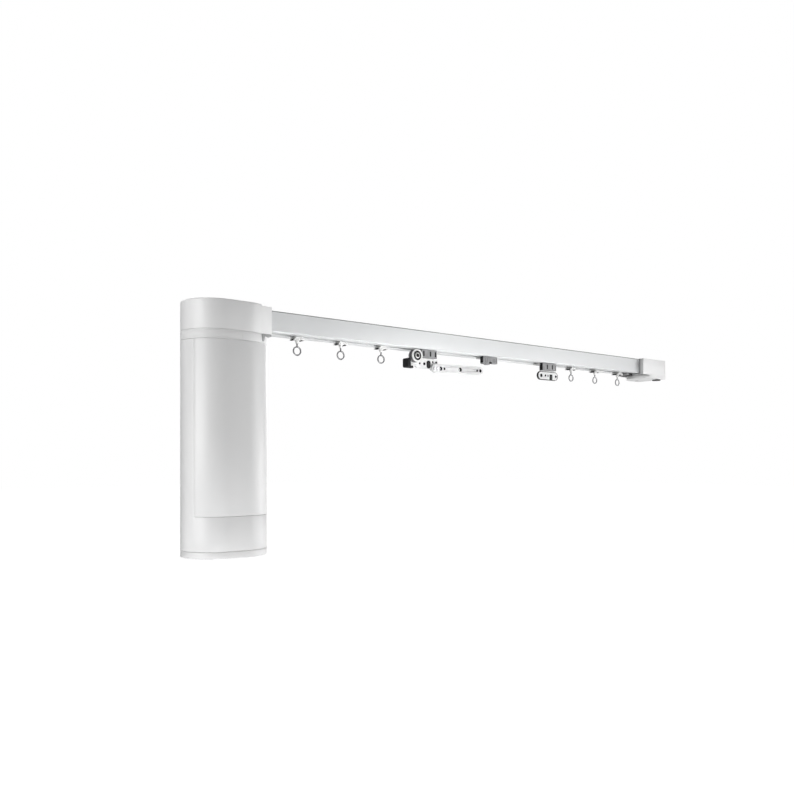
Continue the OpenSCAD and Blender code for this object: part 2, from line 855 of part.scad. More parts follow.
module board_parts() {
    color("dimgray") {
        box(board_x, board_x + 6, -10, 2, cap_z1 + board_h * 0.6, cap_z1 + board_h * 0.6 + 8);
        box(board_x, board_x + 9, 4, 12, cap_z1 + board_h * 0.28, cap_z1 + board_h * 0.28 + 10);
        translate([board_x, -6, cap_z1 + board_h * 0.37]) rotate([0, 90, 0]) cylinder(h = 12, r = 4.5);
    }
}

module cable_gland() {
    color("dimgray") difference() {
        union() {
            rod_z(gland_x, 0, gland_r + gland_wall, cap_z0 - gland_flange, cap_z1 + 2);
            rod_z(gland_x, 0, gland_r + 2 * gland_wall, cap_z0 - gland_flange, cap_z0);
        }
        rod_z(gland_x, 0, gland_r, cap_z0 - gland_flange - 1, cap_z1 + 3);
    }
}

module set_button() {
    color("gray") {
        rod_z(button_x, 0, button_r, cap_z0 - button_travel, cap_z1 + slide_gap + 0.5);
        rod_z(button_x, 0, button_r + 0.9, cap_z1 + slide_gap, cap_z1 + slide_gap + 1.2);
    }
}

module status_lens() {
    color("lightblue") rod_z(lens_x, 0, lens_r, cap_z0 + 0.1, cap_z1 + 1);
}

// Carriages

module axle_bores(x, places) {
    for (dx = places) rod_y(x + dx, wheel_z, axle_r + shaft_fit, -20, 20);
}

// Truck in the rail, neck in the slot and foot under the rail, from x0 to x1
module truck(x, truck_len, x0, x1) {
    half = neck_w / 2;
    box(x - truck_len / 2, x + truck_len / 2, -half, half, truck_z0, truck_z1);
    box(max(x0, x - truck_len / 2) + 1, min(x1, x + truck_len / 2) - 1, -half, half,
        under_z - foot_t, truck_z0 + 1);
    box(x0, x1, block_y0, half, under_z - foot_t, under_z);
}

module grooves(x, z0, places) {
    for (dx = places)
        box(x + dx - groove_w / 2, x + dx + groove_w / 2, block_y0 - 1, block_y0 + groove_d,
            z0 + 1.4, under_z - foot_t);
}

module wheelset(x) {
    color("white") {
        rod_y(x, wheel_z, axle_r, -wheel_y0 - wheel_t, wheel_y0 + wheel_t);
        both_sides() rod_y(x, wheel_z, wheel_r, wheel_y0, wheel_y0 + wheel_t);
    }
}

// Clamp that reaches from the truck over one strand of the belt, on the front side
module belt_clamp(x) {
    y_out = belt_out + slide_gap;
    y_in = belt_in - tooth_h - slide_gap;
    x0 = x - clamp_len / 2;
    x1 = x + clamp_len / 2;
    color("slategray") {
        box(x0, x1, -y_out - clamp_wall, neck_w / 2, truck_z1, clamp_z1);
        box(x0, x1, -y_out - clamp_wall, -y_out, belt_z0 + 0.3, truck_z1 + 1);
        box(x0, x1, -y_in, -y_in + clamp_wall, belt_z0 + 0.3, truck_z1 + 1);
    }
}

module left_carriage() {
    x0 = left_x - left_block_len / 2;
    x1 = left_x + left_block_len / 2;
    color("gray") difference() {
        union() {
            truck(left_x, wheel_base + 6, x0, x1);
            box(x0, x1, block_y0, block_y1, block_z0, under_z);
        }
        axle_bores(left_x, [-wheel_base / 2, wheel_base / 2]);
        grooves(left_x, block_z0, [-6.8, groove_gap - 6.8, left_block_len / 2 - 1.7]);
        rivet_holes(left_rivet_x, block_y0 + 1, block_y1 + 1, block_z0 + 2.6);
    }
}

module rivet_holes(places, y0, y1, z) {
    for (x = places) rod_y(x, z, rivet_r + shaft_fit, y0, y1);
}

module left_belt_clamp() {
    belt_clamp(left_x);
}

// Lower lobe of a plate between x0 and x1, with its lower corners rounded to ra and rb
module plate_lobe(x0, x1, z0, z1, ra, rb) {
    difference() {
        translate([x0, z0]) square([x1 - x0, z1 - z0]);
        translate([x0 + ra, z0 + ra]) difference() {
            translate([-ra - 1, -ra - 1]) square(ra + 1);
            circle(ra);
        }
        translate([x1 - rb, z0 + rb]) difference() {
            translate([0, -rb - 1]) square(rb + 1);
            circle(rb);
        }
    }
}

module left_hanger_plate() {
    tongue_z = buffer_z1 - buffer_h / 2;
    tab_x0 = left_x - left_block_len / 2 + 0.6;
    tab_x1 = left_x + left_block_len / 2 - 0.6;
    color("white") difference() {
        along_y(plate_y0, plate_y1) {
            plate_lobe(left_plate_x0, left_plate_x1, plate_z0, plate_z1, 6, 3);
            translate([tab_x0, plate_z1 - 1]) square([tab_x1 - tab_x0, tab_h + 1.8]);
            translate([roller_x, roller_z]) circle(lug_r);
            translate([roller_x, plate_z1 - 4]) square([tab_x0 - roller_x + 1, roller_z - plate_z1 + 4]);
            translate([buffer_x1 - 2, tongue_z - 2]) square([left_plate_x0 - buffer_x1 + 4, 4]);
        }
        rod_y(roller_x, roller_z, roller_pin_r + shaft_fit, plate_y0 - 1, plate_y1 + 1);
        rivet_holes(left_rivet_x, plate_y0 - 1, plate_y1 + 1, block_z0 + 2.6);
        rivet_holes(arm_rivets, plate_y0 - 1, plate_y1 + 1, arm_z);
        clip_slot(0.05, plate_y0 - 1, plate_y1 + 1);
        rod_y(left_clip_x - clip_w / 2 - 3, plate_z1 - plate_h / 2, hook_r, plate_y0 - 1, plate_y1 + 1);
        for (x = [left_clip_x + clip_w / 2 + 3, left_clip_x + clip_w / 2 + 7.2])
            rod_y(x, plate_z1 - 2.1, peep_r, plate_y0 - 1, plate_y1 + 1);
        rod_y(left_clip_x - clip_w / 2 - 8.4, plate_z1 - plate_h / 2, peep_r, plate_y0 - 1, plate_y1 + 1);
    }
}

// Round-ended slot for the left hook clip
module clip_slot(grow, y0, y1) {
    along_y(y0, y1) translate([left_clip_x, plate_z1 - 1 - clip_h / 2]) rotate([0, 0, 90])
        stadium(clip_w / 2 + grow, clip_h - clip_w);
}

module left_hook_clip() {
    color("black") clip_slot(0, plate_y0 - clip_proud, plate_y1 + clip_proud);
}

module overlap_arm() {
    color("white") difference() {
        translate([arm_pivot, 0, arm_z]) rotate([0, -arm_rise, 0]) difference() {
            along_y(arm_y0, arm_y1) translate([(arm_x0 + arm_x1) / 2 - arm_pivot, 0])
                stadium(arm_h / 2, arm_len - arm_h);
            for (i = [0:4])
                rod_y(arm_holes[i] - arm_pivot, 0, hook_r * arm_hole_share[i], arm_y0 - 1, arm_y1 + 1);
        }
        rivet_holes(arm_rivets, arm_y0 - 1, arm_y1 + 1, arm_z);
    }
}

// Rivet with a head at each end, from y0 to y1 between the heads
module rivet(x, z, y0, y1) {
    rod_y(x, z, rivet_r, y0 - 0.1, y1 + 0.1);
    rod_y(x, z, rivet_head_r, y1, y1 + rivet_head_h);
}

module left_rivets() {
    color("dimgray") {
        for (x = left_rivet_x) rivet(x, block_z0 + 2.6, block_y0 + 1.2, plate_y1);
        for (x = arm_rivets) {
            rivet(x, arm_z, arm_y0, plate_y1);
            rod_y(x, arm_z, rivet_head_r, arm_y0 - rivet_head_h, arm_y0);
        }
    }
}

module left_buffer() {
    tongue_z = buffer_z1 - buffer_h / 2;
    foot_z1 = roller_z - roller_r - slide_gap;
    color("black") difference() {
        union() {
            along_y(buffer_y0, buffer_y1) translate([(buffer_x0 + buffer_x1) / 2, tongue_z]) {
                square([buffer_len, buffer_h - 2 * buffer_round], center = true);
                square([buffer_len - 2 * buffer_round, buffer_h], center = true);
                for (sx = [-1, 1], sz = [-1, 1])
                    translate([sx * (buffer_len / 2 - buffer_round), sz * (buffer_h / 2 - buffer_round)])
                        circle(buffer_round);
            }
            along_y(plate_y0, buffer_y1) translate([buffer_x1 - 2, tongue_z - buffer_h / 2])
                square([buffer_foot + 2, foot_z1 - tongue_z + buffer_h / 2]);
        }
        along_y(plate_y0 - seam, plate_y1 + seam) {
            translate([buffer_x1 - 2 - seam, tongue_z - 2 - seam])
                square([2 + buffer_foot + seam, 4 + 2 * seam]);
            plate_lobe(left_plate_x0 - seam, left_plate_x1, plate_z0 - seam, plate_z1, 6 + seam, 3);
            translate([roller_x, roller_z]) circle(lug_r + seam);
        }
    }
}

module roller_pin() {
    color("black") {
        rod_y(roller_x, roller_z, roller_pin_r, roller_y0 - slide_gap - 0.1, plate_y1);
        rod_y(roller_x, roller_z, pin_head_r, roller_y0 - slide_gap - pin_head_h, roller_y0 - slide_gap);
    }
}

// Flat ring round the guide roller's axis
module roller_ring(r1, r0, y0, y1) {
    difference() {
        rod_y(roller_x, roller_z, r1, y0, y1);
        rod_y(roller_x, roller_z, r0, y0 - 1, y1 + 1);
    }
}

module guide_roller() {
    color("white") difference() {
        union() {
            roller_ring(roller_r, roller_pin_r + shaft_fit, roller_y0, roller_y0 + rim_t);
            roller_ring(roller_r - tyre_t, roller_pin_r + shaft_fit, roller_y0 + rim_t / 2, roller_y1);
        }
        roller_ring(seal_out, seal_in, roller_y0 - 1, roller_y0 + seal_d);
    }
}

module roller_tyre() {
    fit = shaft_fit;
    color("black") {
        roller_ring(seal_out - fit, seal_in + fit, roller_y0 + 0.2, roller_y0 + seal_d);
        roller_ring(roller_r, roller_r - tyre_t + fit, roller_y0 + rim_t + fit, roller_y1);
    }
}

module left_wheels_a() {
    wheelset(left_x - wheel_base / 2);
}

module left_wheels_b() {
    wheelset(left_x + wheel_base / 2);
}

module arm_slider() {
    x0 = slider_x - slider_block_len / 2;
    x1 = slider_x + slider_block_len / 2;
    notch_x = slider_x - 1.2;
    color("gray") difference() {
        union() {
            truck(slider_x, slider_block_len - 4, x0, x1);
            box(x0, x1, block_y0, block_y1, block_z0 + 0.9, under_z);
            along_y(block_y0, block_y1)
                plate_lobe(x0 + 0.8, notch_x - 0.4, block_z0 - 0.5, under_z - 1, 1.6, 1.6);
        }
        axle_bores(slider_x, [0]);
        box(notch_x - 0.6, notch_x + 0.6, block_y0 - 1, block_y1 + 1, block_z0 - 1, under_z - foot_t - 3.2);
    }
}

module slider_wheels() {
    wheelset(slider_x);
}

module right_carriage() {
    x0 = right_x - right_block_len / 2;
    x1 = right_x + right_block_len / 2;
    color("gray") difference() {
        union() {
            truck(right_x, wheel_base + 6, x0, x1);
            box(x0, x1, block_y0, block_y1, block_z0, under_z);
        }
        axle_bores(right_x, [-wheel_base / 2, wheel_base / 2]);
        grooves(right_x, block_z0, [-3.2, groove_gap - 3.2]);
        rivet_holes([right_x - 6, right_x + 6], block_y0 + 1, block_y1 + 1, block_z0 + 2.6);
    }
}

module right_belt_clamp() {
    mirror([0, 1, 0]) belt_clamp(right_x);
}

module right_hanger_plate() {
    r = plate_h / 2;
    color("white") difference() {
        along_y(plate_y0, plate_y1) {
            translate([(right_plate_x0 + right_plate_x1) / 2, plate_z1 - r])
                stadium(r, right_plate_len - plate_h);
            translate([right_x - 9, plate_z1 - 1]) square([18, tab_h + 1.8]);
        }
        rivet_holes([right_x - 6, right_x + 6], plate_y0 - 1, plate_y1 + 1, block_z0 + 2.6);
        for (i = [0, 1])
            rod_y(right_hole_x + (i - 0.5) * right_hook_gap, plate_z1 - r, hook_r * right_hole_share[i],
                plate_y0 - 1, plate_y1 + 1);
        box(right_clip_x - right_clip_w / 2 - 0.05, right_clip_x + right_clip_w / 2 + 0.05,
            plate_y0 - 1, plate_y1 + 1, plate_z0 - 1, plate_z0 + right_clip_h + 0.05);
    }
}

module right_hook_clip() {
    color("black") box(right_clip_x - right_clip_w / 2, right_clip_x + right_clip_w / 2,
        plate_y0 - clip_proud, plate_y1 + clip_proud, plate_z0, plate_z0 + right_clip_h);
}

module right_rivets() {
    color("dimgray") for (x = [right_x - 6, right_x + 6])
        rivet(x, block_z0 + 2.6, block_y0 + 1.2, plate_y1);
}

module right_wheels_a() {
    wheelset(right_x - wheel_base / 2);
}

module right_wheels_b() {
    wheelset(right_x + wheel_base / 2);
}

// Gliders and their eyes

module glider(x) {
    half = glider_w / 2;
    color("whitesmoke") translate([x, 0, 0]) difference() {
        union() {
            box(-4.4, 4.4, -5.8, 5.8, lip_top + run_gap, lip_top + 2.3);
            box(-funnel_r, funnel_r, -neck_w / 2, neck_w / 2, funnel_z1, lip_top + 1);
            along_y(-glider_d / 2, glider_d / 2) polygon([
                [-half + 2, glider_z1], [half - 2, glider_z1], [half, glider_z0],
                [half - 1.2, glider_z0], [1.8, funnel_z1 - 0.2], [-1.8, funnel_z1 - 0.2],
                [-half + 1.2, glider_z0], [-half, glider_z0]
            ]);
            translate([0, 0, funnel_z0]) cylinder(h = funnel_h, r1 = funnel_tip, r2 = funnel_r);
        }
        rod_z(0, 0, wire_r + shaft_fit, funnel_z0 - 1, eye_seat_z + 1);
        rod_z(0, 0, eye_head_r + shaft_fit, eye_seat_z, lip_top + 3);
    }
}

module eye(x) {
    color("silver") translate([x, 0, 0]) {
        rod_z(0, 0, eye_head_r, eye_seat_z + 0.1, eye_seat_z + 0.1 + eye_head_h);
        rod_z(0, 0, wire_r, eye_z + eye_r - wire_r, eye_seat_z + 0.5);
        translate([0, 0, eye_z]) rotate([90, 0, 0])
            rotate_extrude() translate([eye_r - wire_r, 0]) circle(wire_r);
    }
}

module runner_1() { glider(glider_x[0]); }
module runner_2() { glider(glider_x[1]); }
module runner_3() { glider(glider_x[2]); }
module runner_4() { glider(glider_x[3]); }
module runner_5() { glider(glider_x[4]); }
module runner_6() { glider(glider_x[5]); }
module runner_eye_1() { eye(glider_x[0]); }
module runner_eye_2() { eye(glider_x[1]); }
module runner_eye_3() { eye(glider_x[2]); }
module runner_eye_4() { eye(glider_x[3]); }
module runner_eye_5() { eye(glider_x[4]); }
module runner_eye_6() { eye(glider_x[5]); }

rail();
drive_head();
drive_head_base();
end_box();
end_box_base();
end_stop();
drive_belt();
pulley_bearings();
idler_axle();
housing_screws();
motor_collar();
label_strip();
motor_shell();
front_panel();
bottom_cap();
motor_can();
gearbox_can();
motor_dampers();
circuit_board();
board_parts();
cable_gland();
status_lens();
drive_pulley();
output_shaft();
idler_pulley();
set_button();
release_catch();
left_carriage();
left_belt_clamp();
left_hanger_plate();
overlap_arm();
left_rivets();
left_buffer();
left_hook_clip();
roller_pin();
guide_roller();
roller_tyre();
left_wheels_a();
left_wheels_b();
arm_slider();
slider_wheels();
right_carriage();
right_belt_clamp();
right_hanger_plate();
right_rivets();
right_hook_clip();
right_wheels_a();
right_wheels_b();
runner_1();
runner_2();
runner_3();
runner_4();
runner_5();
runner_6();
runner_eye_1();
runner_eye_2();
runner_eye_3();
runner_eye_4();
runner_eye_5();
runner_eye_6();
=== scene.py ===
import bpy
import bmesh
import json
import math
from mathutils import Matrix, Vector


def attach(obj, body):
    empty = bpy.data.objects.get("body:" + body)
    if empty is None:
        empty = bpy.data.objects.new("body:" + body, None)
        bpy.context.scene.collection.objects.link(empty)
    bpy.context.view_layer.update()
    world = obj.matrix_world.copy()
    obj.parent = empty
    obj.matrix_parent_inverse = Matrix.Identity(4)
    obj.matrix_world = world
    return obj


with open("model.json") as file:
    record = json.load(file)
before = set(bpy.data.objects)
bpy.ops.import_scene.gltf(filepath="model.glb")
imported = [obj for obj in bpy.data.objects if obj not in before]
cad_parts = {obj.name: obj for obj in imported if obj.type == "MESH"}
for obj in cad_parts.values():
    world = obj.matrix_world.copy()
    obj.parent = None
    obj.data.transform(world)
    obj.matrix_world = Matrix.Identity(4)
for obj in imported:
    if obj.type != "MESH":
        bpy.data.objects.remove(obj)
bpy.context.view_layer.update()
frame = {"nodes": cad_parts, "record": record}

scene = bpy.context.scene
scene.view_settings.view_transform = "Standard"

# camera where the picture was taken from, level, a little below the rail
viewPoint = {
    "place": (-0.5370, -0.5649, -0.1201),
    "looksAlong": (0.6059, 0.7955, 0.0),
    "lens": 34.9,
    "sensor": 36.0,
    "shiftUp": 0.0797,
    "clip": (0.01, 60),
}


def placeCamera(spec):
    data = bpy.data.cameras.new("pictureCamera")
    data.lens = spec["lens"]
    data.sensor_width = spec["sensor"]
    data.shift_y = spec["shiftUp"]
    data.clip_start, data.clip_end = spec["clip"]
    cam = bpy.data.objects.new("pictureCamera", data)
    cam.location = spec["place"]
    cam.rotation_mode = "QUATERNION"
    cam.rotation_quaternion = Vector(spec["looksAlong"]).to_track_quat("-Z", "Y")
    scene.collection.objects.link(cam)
    scene.camera = cam


placeCamera(viewPoint)
print("camera placed")

# studio: tall boxes left and right, a low one under the rail, three strips along the rail,
# one box at the motor's foot, one behind and one above
softBoxes = {
    "leftBox": {"at": (-1.22, -0.24, 0.10), "aim": (-0.28, 0.0, -0.09), "size": (0.7, 0.9),
                "watts": 7.2},
    "rightBox": {"at": (0.75, -0.60, 0.0), "aim": (-0.28, 0.0, -0.09), "size": (0.5, 0.9),
                 "watts": 4.2},
    "sideBox": {"at": (0.16, -0.06, -0.17), "aim": (-0.28, 0.0, -0.03), "size": (0.2, 0.22),
                "watts": 0.095, "spread": 70},
    "railStrip": {"at": (0.045, -0.22, -0.19), "aim": (0.06, 0.0, -0.008), "size": (0.42, 0.06),
                  "watts": 0.104, "spread": 60},
    "nearStrip": {"at": (-0.14, -0.20, -0.14), "aim": (-0.15, 0.0, -0.008), "size": (0.23, 0.05),
                  "watts": 0.023, "spread": 45},
    "noseStrip": {"at": (-0.18, -0.15, -0.10), "aim": (-0.236, -0.013, -0.008),
                  "size": (0.03, 0.03), "watts": 0.0006, "spread": 15},
    "footBox": {"at": (-0.29, -0.34, -0.50), "aim": (-0.285, 0.0, -0.21), "size": (0.25, 0.1),
                "watts": 0.075, "spread": 40},
    "backBox": {"at": (0.60, 1.30, 0.35), "aim": (-0.05, 0.0, -0.05), "size": (1.0, 0.8),
                "watts": 9.0},
    "topBox": {"at": (0.0, 0.30, 1.20), "aim": (0.0, 0.0, 0.0), "size": (1.4, 0.8), "watts": 4.5},
}
# dark card behind the motor, seen in its gloss alone, that draws the left edge
darkCard = {"at": (-0.40, 0.72, -0.10), "size": (1.10, 0.60), "turn": 180, "tone": 0.02}
studio = {"ambient": 0.02, "backdrop": 1.0, "white": (1, 1, 1, 1), "openSpread": 180,
          "floorAt": -0.62, "floorReach": 14.0, "floorTone": 0.82,
          "glowNear": 0.92, "glowFar": 1.0, "nearTo": 0.5, "farFrom": 2.2}


def hangSoftBox(name, spec, openSpread):
    data = bpy.data.lights.new(name, "AREA")
    data.shape = "RECTANGLE"
    data.size, data.size_y = spec["size"]
    data.energy = spec["watts"]
    data.spread = math.radians(spec.get("spread", openSpread))
    lamp = bpy.data.objects.new(name, data)
    lamp.location = spec["at"]
    lamp.rotation_mode = "QUATERNION"
    lamp.rotation_quaternion = (Vector(spec["aim"]) - Vector(spec["at"])).to_track_quat("-Z", "Y")
    lamp.visible_camera = False
    scene.collection.objects.link(lamp)


def seenRay(tree):
    # 1 for rays that show the background itself: camera, gloss and glass
    path = tree.nodes.new("ShaderNodeLightPath")
    total = path.outputs["Is Camera Ray"]
    for ray in ("Is Glossy Ray", "Is Transmission Ray"):
        pick = tree.nodes.new("ShaderNodeMath")
        pick.operation = "MAXIMUM"
        tree.links.new(total, pick.inputs[0])
        tree.links.new(path.outputs[ray], pick.inputs[1])
        total = pick.outputs[0]
    return total


def buildStudio(spec):
    world = bpy.data.worlds.new("whiteRoom")
    scene.world = world
    world.use_nodes = True
    tree = world.node_tree
    tree.nodes.clear()
    dim = tree.nodes.new("ShaderNodeBackground")
    dim.inputs["Color"].default_value = spec["white"]
    dim.inputs["Strength"].default_value = spec["ambient"]
    bright = tree.nodes.new("ShaderNodeBackground")
    bright.inputs["Color"].default_value = spec["white"]
    bright.inputs["Strength"].default_value = spec["backdrop"]
    mix = tree.nodes.new("ShaderNodeMixShader")
    out = tree.nodes.new("ShaderNodeOutputWorld")
    tree.links.new(seenRay(tree), mix.inputs[0])
    tree.links.new(dim.outputs[0], mix.inputs[1])
    tree.links.new(bright.outputs[0], mix.inputs[2])
    tree.links.new(mix.outputs[0], out.inputs["Surface"])

    paper = bpy.data.materials.new("floorPaper")
    paper.use_nodes = True
    tree = paper.node_tree
    tree.nodes.clear()
    matt = tree.nodes.new("ShaderNodeBsdfDiffuse")
    matt.inputs["Color"].default_value = (spec["floorTone"],) * 3 + (1,)
    glow = tree.nodes.new("ShaderNodeEmission")
    level = tree.nodes.new("ShaderNodeMath")
    level.operation = "MULTIPLY"
    where = tree.nodes.new("ShaderNodeTexCoord")
    away = tree.nodes.new("ShaderNodeVectorMath")
    away.operation = "LENGTH"
    # the paper is lit more the further it lies from the track
    rise = tree.nodes.new("ShaderNodeMapRange")
    rise.inputs["From Min"].default_value = spec["nearTo"]
    rise.inputs["From Max"].default_value = spec["farFrom"]
    rise.inputs["To Min"].default_value = spec["glowNear"]
    rise.inputs["To Max"].default_value = spec["glowFar"]
    tree.links.new(where.outputs["Object"], away.inputs[0])
    tree.links.new(away.outputs["Value"], rise.inputs["Value"])
    tree.links.new(rise.outputs["Result"], level.inputs[1])
    both = tree.nodes.new("ShaderNodeAddShader")
    out = tree.nodes.new("ShaderNodeOutputMaterial")
    tree.links.new(seenRay(tree), level.inputs[0])
    tree.links.new(level.outputs[0], glow.inputs["Strength"])
    tree.links.new(matt.outputs[0], both.inputs[0])
    tree.links.new(glow.outputs[0], both.inputs[1])
    tree.links.new(both.outputs[0], out.inputs["Surface"])

    reach, low = spec["floorReach"], spec["floorAt"]
    sheet = bpy.data.meshes.new("studioFloor")
    corners = [(-reach, -reach, low), (reach, -reach, low),
               (reach, reach, low), (-reach, reach, low)]
    sheet.from_pydata(corners, [], [(0, 1, 2, 3)])
    floor = bpy.data.objects.new("studioFloor", sheet)
    sheet.materials.append(paper)
    scene.collection.objects.link(floor)
    for name, box in softBoxes.items():
        hangSoftBox(name, box, spec["openSpread"])


def standDarkCard(spec):
    wide, tall = spec["size"][0] / 2, spec["size"][1] / 2
    sheet = bpy.data.meshes.new("darkCard")
    corners = [(-wide, 0, -tall), (wide, 0, -tall), (wide, 0, tall), (-wide, 0, tall)]
    sheet.from_pydata(corners, [], [(0, 1, 2, 3)])
    felt = bpy.data.materials.new("cardFelt")
    felt.use_nodes = True
    skin = felt.node_tree.nodes["Principled BSDF"]
    skin.inputs["Base Color"].default_value = (spec["tone"],) * 3 + (1,)
    skin.inputs["Specular IOR Level"].default_value = 0.0
    sheet.materials.append(felt)
    card = bpy.data.objects.new("darkCard", sheet)
    card.location = spec["at"]
    card.rotation_euler = (0, 0, math.radians(spec["turn"]))
    card.visible_camera = card.visible_diffuse = False
    card.visible_shadow = card.visible_transmission = False
    scene.collection.objects.link(card)


buildStudio(studio)
standDarkCard(darkCard)
print("studio lit by", len(softBoxes), "soft boxes")

# finishes: two near tones in patches, a grain for the bump, and the gloss of each
finishes = {
    "railCoat": {"light": (0.80, 0.81, 0.815), "dark": (0.77, 0.782, 0.79), "patch": 55,
                 "rough": (0.34, 0.46), "grain": 2600, "bump": 0.10, "depth": 0.00006,
                 "stretch": (0.25, 1, 1), "coat": 0.0},
    "shellGloss": {"light": (0.86, 0.86, 0.858), "dark": (0.835, 0.836, 0.838), "patch": 28,
                   "rough": (0.38, 0.48), "grain": 900, "bump": 0.06, "depth": 0.00008,
                   "stretch": (1, 1, 0.6), "coat": 0.0, "mirror": 1.0},
    "labelFilm": {"light": (0.88, 0.88, 0.875), "dark": (0.85, 0.85, 0.85), "patch": 120,
                  "rough": (0.42, 0.55), "grain": 1800, "bump": 0.05, "depth": 0.00005,
                  "stretch": (1, 1, 1), "coat": 0.0},
    "baseGrey": {"light": (0.36, 0.36, 0.365), "dark": (0.30, 0.30, 0.305), "patch": 90,
                 "rough": (0.42, 0.58), "grain": 2200, "bump": 0.14, "depth": 0.00006,
                 "stretch": (1, 1, 1), "coat": 0.0},
    "greyNylon": {"light": (0.29, 0.29, 0.295), "dark": (0.19, 0.19, 0.195), "patch": 160,
                  "rough": (0.38, 0.6), "grain": 2400, "bump": 0.2, "depth": 0.00006,
                  "stretch": (1, 1, 1), "coat": 0.0},
    "whiteAcetal": {"light": (0.84, 0.84, 0.83), "dark": (0.76, 0.76, 0.755), "patch": 200,
                    "rough": (0.3, 0.45), "grain": 2400, "bump": 0.08, "depth": 0.00005,
                    "stretch": (1, 1, 1), "coat": 0.0, "mirror": 0.3},
    "groundSteel": {"light": (0.60, 0.60, 0.61), "dark": (0.44, 0.44, 0.45), "patch": 320,
                    "rough": (0.22, 0.42), "grain": 1500, "bump": 0.1, "depth": 0.00004,
                    "stretch": (1, 1, 0.1), "coat": 0.0, "metal": 1.0},
    "plateCoat": {"light": (0.84, 0.84, 0.835), "dark": (0.76, 0.765, 0.77), "patch": 180,
                  "rough": (0.25, 0.42), "grain": 2600, "bump": 0.1, "depth": 0.00005,
                  "stretch": (1, 1, 1), "coat": 0.0, "mirror": 0.25},
    "nickelWire": {"light": (0.25, 0.25, 0.255), "dark": (0.13, 0.13, 0.135), "patch": 420,
                   "rough": (0.16, 0.34), "grain": 1800, "bump": 0.08, "depth": 0.00003,
                   "stretch": (1, 1, 1), "coat": 0.0, "metal": 1.0},
    "blackRubber": {"light": (0.014, 0.014, 0.015), "dark": (0.006, 0.006, 0.007), "patch": 240,
                    "rough": (0.55, 0.75), "grain": 2600, "bump": 0.25, "depth": 0.00007,
                    "stretch": (1, 1, 1), "coat": 0.0, "mirror": 0.2},
    "blackPlastic": {"light": (0.014, 0.014, 0.015), "dark": (0.007, 0.007, 0.008), "patch": 200,
                     "rough": (0.35, 0.5), "grain": 2200, "bump": 0.12, "depth": 0.00005,
                     "stretch": (1, 1, 1), "coat": 0.0, "mirror": 0.25},
    # the next two tones are painted shade: a grey for the end box's shaded end face and a darker
    # grey for shade lines at edges and gaps
    "boxEndShadeGrey": {"light": (0.60, 0.605, 0.605), "dark": (0.53, 0.535, 0.535), "patch": 160,
                   "rough": (0.5, 0.65), "grain": 2400, "bump": 0.12, "depth": 0.00005,
                   "stretch": (1, 1, 1), "coat": 0.0},
    "shadeLineGrey": {"light": (0.27, 0.275, 0.28), "dark": (0.21, 0.215, 0.22), "patch": 120,
                "rough": (0.4, 0.55), "grain": 2200, "bump": 0.1, "depth": 0.00004,
                "stretch": (0.2, 1, 1), "coat": 0.0},
    "ribGrey": {"light": (0.26, 0.26, 0.265), "dark": (0.18, 0.18, 0.185), "patch": 220,
                "rough": (0.4, 0.6), "grain": 2400, "bump": 0.18, "depth": 0.00005,
                "stretch": (1, 1, 1), "coat": 0.0},
    "catchGrey": {"light": (0.50, 0.50, 0.505), "dark": (0.43, 0.43, 0.435), "patch": 140,
                  "rough": (0.4, 0.55), "grain": 2200, "bump": 0.12, "depth": 0.00005,
                  "stretch": (1, 1, 1), "coat": 0.0},
    "boardGreen": {"light": (0.03, 0.16, 0.07), "dark": (0.02, 0.10, 0.045), "patch": 300,
                   "rough": (0.3, 0.45), "grain": 1600, "bump": 0.12, "depth": 0.00005,
                   "stretch": (1, 1, 1), "coat": 0.3},
    "milkyLens": {"light": (0.72, 0.78, 0.82), "dark": (0.66, 0.72, 0.77), "patch": 260,
                  "rough": (0.12, 0.2), "grain": 1200, "bump": 0.04, "depth": 0.00003,
                  "stretch": (1, 1, 1), "coat": 0.4},
}

# what all finishes share
finishCommon = {"coatRough": 0.12, "ior": 1.48, "mirror": 0.5, "patchDetail": 4.0,
                "grainDetail": 2.0, "darkUpTo": 0.3, "lightFrom": 0.7}


